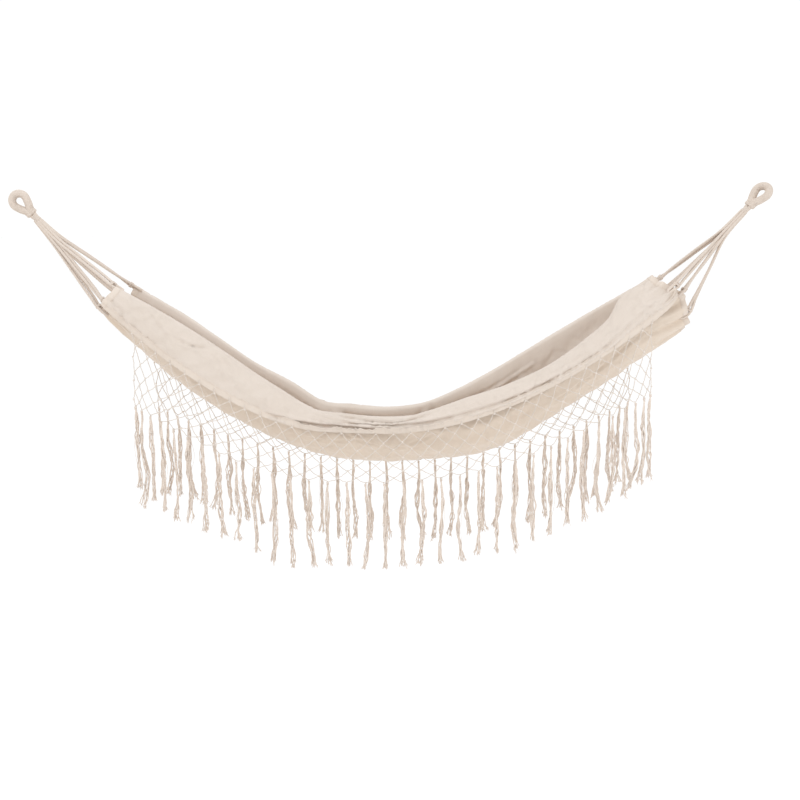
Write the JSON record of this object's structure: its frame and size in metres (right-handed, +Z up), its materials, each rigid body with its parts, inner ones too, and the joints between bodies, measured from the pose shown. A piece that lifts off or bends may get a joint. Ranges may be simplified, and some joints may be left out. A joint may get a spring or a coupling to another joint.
{
  "type": "rope hammock",
  "caption": "Cotton hammock: a gathered cloth bed hung by spread rope cords from a served eye at each end, with a knotted net and tassels along both edges.",
  "frame": {"origin": "bearing point of the left eye, where a hook or tree rope touches the inside of the loop", "axes": "+X along the hammock to the right eye's bearing point, +Y across it to the far side, +Z up"},
  "size_m": [2.14, 0.27, 1.0581],
  "materials": {
    "served_rope": "tightly served cotton rope",
    "whipping_twine": "bound cotton twine",
    "suspension_rope": "twisted cotton rope",
    "cotton_cloth": "plain woven natural cotton",
    "net_yarn": "plied cotton yarn",
    "tassel_yarn": "loosely twisted cotton yarn"
  },
  "bodies": {
    "hangers": {"left_eye": "served_rope", "right_eye": "served_rope", "left_whipping": "whipping_twine", "right_whipping": "whipping_twine"},
    "bed": {"left_bundle": "suspension_rope", "right_bundle": "suspension_rope", "left_cord_1": "suspension_rope", "left_cord_2": "suspension_rope", "left_cord_3": "suspension_rope", "left_cord_4": "suspension_rope", "left_cord_5": "suspension_rope", "right_cord_1": "suspension_rope", "right_cord_2": "suspension_rope", "right_cord_3": "suspension_rope", "right_cord_4": "suspension_rope", "right_cord_5": "suspension_rope", "left_end_hem": "cotton_cloth", "right_end_hem": "cotton_cloth", "bed_cloth": "cotton_cloth", "near_hem": "cotton_cloth", "far_hem": "cotton_cloth", "near_net": "net_yarn", "far_net": "net_yarn"},
    "near_fringe_1": {"near_tassels_1": "tassel_yarn"},
    "near_fringe_2": {"near_tassels_2": "tassel_yarn"},
    "near_fringe_3": {"near_tassels_3": "tassel_yarn"},
    "near_fringe_4": {"near_tassels_4": "tassel_yarn"},
    "near_fringe_5": {"near_tassels_5": "tassel_yarn"},
    "near_fringe_6": {"near_tassels_6": "tassel_yarn"},
    "near_fringe_7": {"near_tassels_7": "tassel_yarn"},
    "near_fringe_8": {"near_tassels_8": "tassel_yarn"},
    "near_fringe_9": {"near_tassels_9": "tassel_yarn"},
    "near_fringe_10": {"near_tassels_10": "tassel_yarn"},
    "near_fringe_11": {"near_tassels_11": "tassel_yarn"},
    "near_fringe_12": {"near_tassels_12": "tassel_yarn"},
    "near_fringe_13": {"near_tassels_13": "tassel_yarn"},
    "near_fringe_14": {"near_tassels_14": "tassel_yarn"},
    "near_fringe_15": {"near_tassels_15": "tassel_yarn"},
    "near_fringe_16": {"near_tassels_16": "tassel_yarn"},
    "near_fringe_17": {"near_tassels_17": "tassel_yarn"},
    "far_fringe_1": {"far_tassels_1": "tassel_yarn"},
    "far_fringe_2": {"far_tassels_2": "tassel_yarn"},
    "far_fringe_3": {"far_tassels_3": "tassel_yarn"},
    "far_fringe_4": {"far_tassels_4": "tassel_yarn"},
    "far_fringe_5": {"far_tassels_5": "tassel_yarn"},
    "far_fringe_6": {"far_tassels_6": "tassel_yarn"},
    "far_fringe_7": {"far_tassels_7": "tassel_yarn"},
    "far_fringe_8": {"far_tassels_8": "tassel_yarn"},
    "far_fringe_9": {"far_tassels_9": "tassel_yarn"},
    "far_fringe_10": {"far_tassels_10": "tassel_yarn"},
    "far_fringe_11": {"far_tassels_11": "tassel_yarn"},
    "far_fringe_12": {"far_tassels_12": "tassel_yarn"},
    "far_fringe_13": {"far_tassels_13": "tassel_yarn"},
    "far_fringe_14": {"far_tassels_14": "tassel_yarn"},
    "far_fringe_15": {"far_tassels_15": "tassel_yarn"},
    "far_fringe_16": {"far_tassels_16": "tassel_yarn"},
    "far_fringe_17": {"far_tassels_17": "tassel_yarn"}
  },
  "joints": [
    {"name": "bed_swing", "type": "hinge", "parent": "hangers", "child": "bed", "pos_m": [1.045, 0, -0.05945], "axis": [1, 0, 0], "range_deg": [-35, 35]},
    {"name": "near_tassel_swing", "type": "hinge", "parent": "bed", "child": "near_fringe_1", "pos_m": [1.045, -0.127, -0.80073], "axis": [1, 0, 0], "range_deg": [-25, 25]},
    {"name": "near_tassel_swing_2", "type": "hinge", "parent": "bed", "child": "near_fringe_2", "pos_m": [1.045, -0.127, -0.79853], "axis": [1, 0, 0], "range_deg": [-25, 25]},
    {"name": "near_tassel_swing_3", "type": "hinge", "parent": "bed", "child": "near_fringe_3", "pos_m": [1.045, -0.127, -0.79416], "axis": [1, 0, 0], "range_deg": [-25, 25]},
    {"name": "near_tassel_swing_4", "type": "hinge", "parent": "bed", "child": "near_fringe_4", "pos_m": [1.045, -0.127, -0.78765], "axis": [1, 0, 0], "range_deg": [-25, 25]},
    {"name": "near_tassel_swing_5", "type": "hinge", "parent": "bed", "child": "near_fringe_5", "pos_m": [1.045, -0.127, -0.77907], "axis": [1, 0, 0], "range_deg": [-25, 25]},
    {"name": "near_tassel_swing_6", "type": "hinge", "parent": "bed", "child": "near_fringe_6", "pos_m": [1.045, -0.127, -0.7685], "axis": [1, 0, 0], "range_deg": [-25, 25]},
    {"name": "near_tassel_swing_7", "type": "hinge", "parent": "bed", "child": "near_fringe_7", "pos_m": [1.045, -0.127, -0.75603], "axis": [1, 0, 0], "range_deg": [-25, 25]},
    {"name": "near_tassel_swing_8", "type": "hinge", "parent": "bed", "child": "near_fringe_8", "pos_m": [1.045, -0.127, -0.74179], "axis": [1, 0, 0], "range_deg": [-25, 25]},
    {"name": "near_tassel_swing_9", "type": "hinge", "parent": "bed", "child": "near_fringe_9", "pos_m": [1.045, -0.127, -0.72591], "axis": [1, 0, 0], "range_deg": [-25, 25]},
    {"name": "near_tassel_swing_10", "type": "hinge", "parent": "bed", "child": "near_fringe_10", "pos_m": [1.045, -0.127, -0.70855], "axis": [1, 0, 0], "range_deg": [-25, 25]},
    {"name": "near_tassel_swing_11", "type": "hinge", "parent": "bed", "child": "near_fringe_11", "pos_m": [1.045, -0.127, -0.68987], "axis": [1, 0, 0], "range_deg": [-25, 25]},
    {"name": "near_tassel_swing_12", "type": "hinge", "parent": "bed", "child": "near_fringe_12", "pos_m": [1.045, -0.127, -0.67005], "axis": [1, 0, 0], "range_deg": [-25, 25]},
    {"name": "near_tassel_swing_13", "type": "hinge", "parent": "bed", "child": "near_fringe_13", "pos_m": [1.045, -0.127, -0.64931], "axis": [1, 0, 0], "range_deg": [-25, 25]},
    {"name": "near_tassel_swing_14", "type": "hinge", "parent": "bed", "child": "near_fringe_14", "pos_m": [1.045, -0.127, -0.62784], "axis": [1, 0, 0], "range_deg": [-25, 25]},
    {"name": "near_tassel_swing_15", "type": "hinge", "parent": "bed", "child": "near_fringe_15", "pos_m": [1.045, -0.127, -0.60588], "axis": [1, 0, 0], "range_deg": [-25, 25]},
    {"name": "near_tassel_swing_16", "type": "hinge", "parent": "bed", "child": "near_fringe_16", "pos_m": [1.045, -0.127, -0.58365], "axis": [1, 0, 0], "range_deg": [-25, 25]},
    {"name": "near_tassel_swing_17", "type": "hinge", "parent": "bed", "child": "near_fringe_17", "pos_m": [1.045, -0.127, -0.56139], "axis": [1, 0, 0], "range_deg": [-25, 25]},
    {"name": "far_tassel_swing", "type": "hinge", "parent": "bed", "child": "far_fringe_1", "pos_m": [1.045, 0.127, -0.80078], "axis": [1, 0, 0], "range_deg": [-25, 25]},
    {"name": "far_tassel_swing_2", "type": "hinge", "parent": "bed", "child": "far_fringe_2", "pos_m": [1.045, 0.127, -0.79903], "axis": [1, 0, 0], "range_deg": [-25, 25]},
    {"name": "far_tassel_swing_3", "type": "hinge", "parent": "bed", "child": "far_fringe_3", "pos_m": [1.045, 0.127, -0.79556], "axis": [1, 0, 0], "range_deg": [-25, 25]},
    {"name": "far_tassel_swing_4", "type": "hinge", "parent": "bed", "child": "far_fringe_4", "pos_m": [1.045, 0.127, -0.79038], "axis": [1, 0, 0], "range_deg": [-25, 25]},
    {"name": "far_tassel_swing_5", "type": "hinge", "parent": "bed", "child": "far_fringe_5", "pos_m": [1.045, 0.127, -0.78356], "axis": [1, 0, 0], "range_deg": [-25, 25]},
    {"name": "far_tassel_swing_6", "type": "hinge", "parent": "bed", "child": "far_fringe_6", "pos_m": [1.045, 0.127, -0.77515], "axis": [1, 0, 0], "range_deg": [-25, 25]},
    {"name": "far_tassel_swing_7", "type": "hinge", "parent": "bed", "child": "far_fringe_7", "pos_m": [1.045, 0.127, -0.76523], "axis": [1, 0, 0], "range_deg": [-25, 25]},
    {"name": "far_tassel_swing_8", "type": "hinge", "parent": "bed", "child": "far_fringe_8", "pos_m": [1.045, 0.127, -0.7539], "axis": [1, 0, 0], "range_deg": [-25, 25]},
    {"name": "far_tassel_swing_9", "type": "hinge", "parent": "bed", "child": "far_fringe_9", "pos_m": [1.045, 0.127, -0.74127], "axis": [1, 0, 0], "range_deg": [-25, 25]},
    {"name": "far_tassel_swing_10", "type": "hinge", "parent": "bed", "child": "far_fringe_10", "pos_m": [1.045, 0.127, -0.72746], "axis": [1, 0, 0], "range_deg": [-25, 25]},
    {"name": "far_tassel_swing_11", "type": "hinge", "parent": "bed", "child": "far_fringe_11", "pos_m": [1.045, 0.127, -0.7126], "axis": [1, 0, 0], "range_deg": [-25, 25]},
    {"name": "far_tassel_swing_12", "type": "hinge", "parent": "bed", "child": "far_fringe_12", "pos_m": [1.045, 0.127, -0.69684], "axis": [1, 0, 0], "range_deg": [-25, 25]},
    {"name": "far_tassel_swing_13", "type": "hinge", "parent": "bed", "child": "far_fringe_13", "pos_m": [1.045, 0.127, -0.68034], "axis": [1, 0, 0], "range_deg": [-25, 25]},
    {"name": "far_tassel_swing_14", "type": "hinge", "parent": "bed", "child": "far_fringe_14", "pos_m": [1.045, 0.127, -0.66326], "axis": [1, 0, 0], "range_deg": [-25, 25]},
    {"name": "far_tassel_swing_15", "type": "hinge", "parent": "bed", "child": "far_fringe_15", "pos_m": [1.045, 0.127, -0.64579], "axis": [1, 0, 0], "range_deg": [-25, 25]},
    {"name": "far_tassel_swing_16", "type": "hinge", "parent": "bed", "child": "far_fringe_16", "pos_m": [1.045, 0.127, -0.6281], "axis": [1, 0, 0], "range_deg": [-25, 25]},
    {"name": "far_tassel_swing_17", "type": "hinge", "parent": "bed", "child": "far_fringe_17", "pos_m": [1.045, 0.127, -0.6104], "axis": [1, 0, 0], "range_deg": [-25, 25]}
  ],
  "couplings": [
    {"joint": "near_tassel_swing_2", "follows": "near_tassel_swing", "ratio": 1},
    {"joint": "near_tassel_swing_3", "follows": "near_tassel_swing", "ratio": 1},
    {"joint": "near_tassel_swing_4", "follows": "near_tassel_swing", "ratio": 1},
    {"joint": "near_tassel_swing_5", "follows": "near_tassel_swing", "ratio": 1},
    {"joint": "near_tassel_swing_6", "follows": "near_tassel_swing", "ratio": 1},
    {"joint": "near_tassel_swing_7", "follows": "near_tassel_swing", "ratio": 1},
    {"joint": "near_tassel_swing_8", "follows": "near_tassel_swing", "ratio": 1},
    {"joint": "near_tassel_swing_9", "follows": "near_tassel_swing", "ratio": 1},
    {"joint": "near_tassel_swing_10", "follows": "near_tassel_swing", "ratio": 1},
    {"joint": "near_tassel_swing_11", "follows": "near_tassel_swing", "ratio": 1},
    {"joint": "near_tassel_swing_12", "follows": "near_tassel_swing", "ratio": 1},
    {"joint": "near_tassel_swing_13", "follows": "near_tassel_swing", "ratio": 1},
    {"joint": "near_tassel_swing_14", "follows": "near_tassel_swing", "ratio": 1},
    {"joint": "near_tassel_swing_15", "follows": "near_tassel_swing", "ratio": 1},
    {"joint": "near_tassel_swing_16", "follows": "near_tassel_swing", "ratio": 1},
    {"joint": "near_tassel_swing_17", "follows": "near_tassel_swing", "ratio": 1},
    {"joint": "far_tassel_swing_2", "follows": "far_tassel_swing", "ratio": 1},
    {"joint": "far_tassel_swing_3", "follows": "far_tassel_swing", "ratio": 1},
    {"joint": "far_tassel_swing_4", "follows": "far_tassel_swing", "ratio": 1},
    {"joint": "far_tassel_swing_5", "follows": "far_tassel_swing", "ratio": 1},
    {"joint": "far_tassel_swing_6", "follows": "far_tassel_swing", "ratio": 1},
    {"joint": "far_tassel_swing_7", "follows": "far_tassel_swing", "ratio": 1},
    {"joint": "far_tassel_swing_8", "follows": "far_tassel_swing", "ratio": 1},
    {"joint": "far_tassel_swing_9", "follows": "far_tassel_swing", "ratio": 1},
    {"joint": "far_tassel_swing_10", "follows": "far_tassel_swing", "ratio": 1},
    {"joint": "far_tassel_swing_11", "follows": "far_tassel_swing", "ratio": 1},
    {"joint": "far_tassel_swing_12", "follows": "far_tassel_swing", "ratio": 1},
    {"joint": "far_tassel_swing_13", "follows": "far_tassel_swing", "ratio": 1},
    {"joint": "far_tassel_swing_14", "follows": "far_tassel_swing", "ratio": 1},
    {"joint": "far_tassel_swing_15", "follows": "far_tassel_swing", "ratio": 1},
    {"joint": "far_tassel_swing_16", "follows": "far_tassel_swing", "ratio": 1},
    {"joint": "far_tassel_swing_17", "follows": "far_tassel_swing", "ratio": 1}
  ]
}
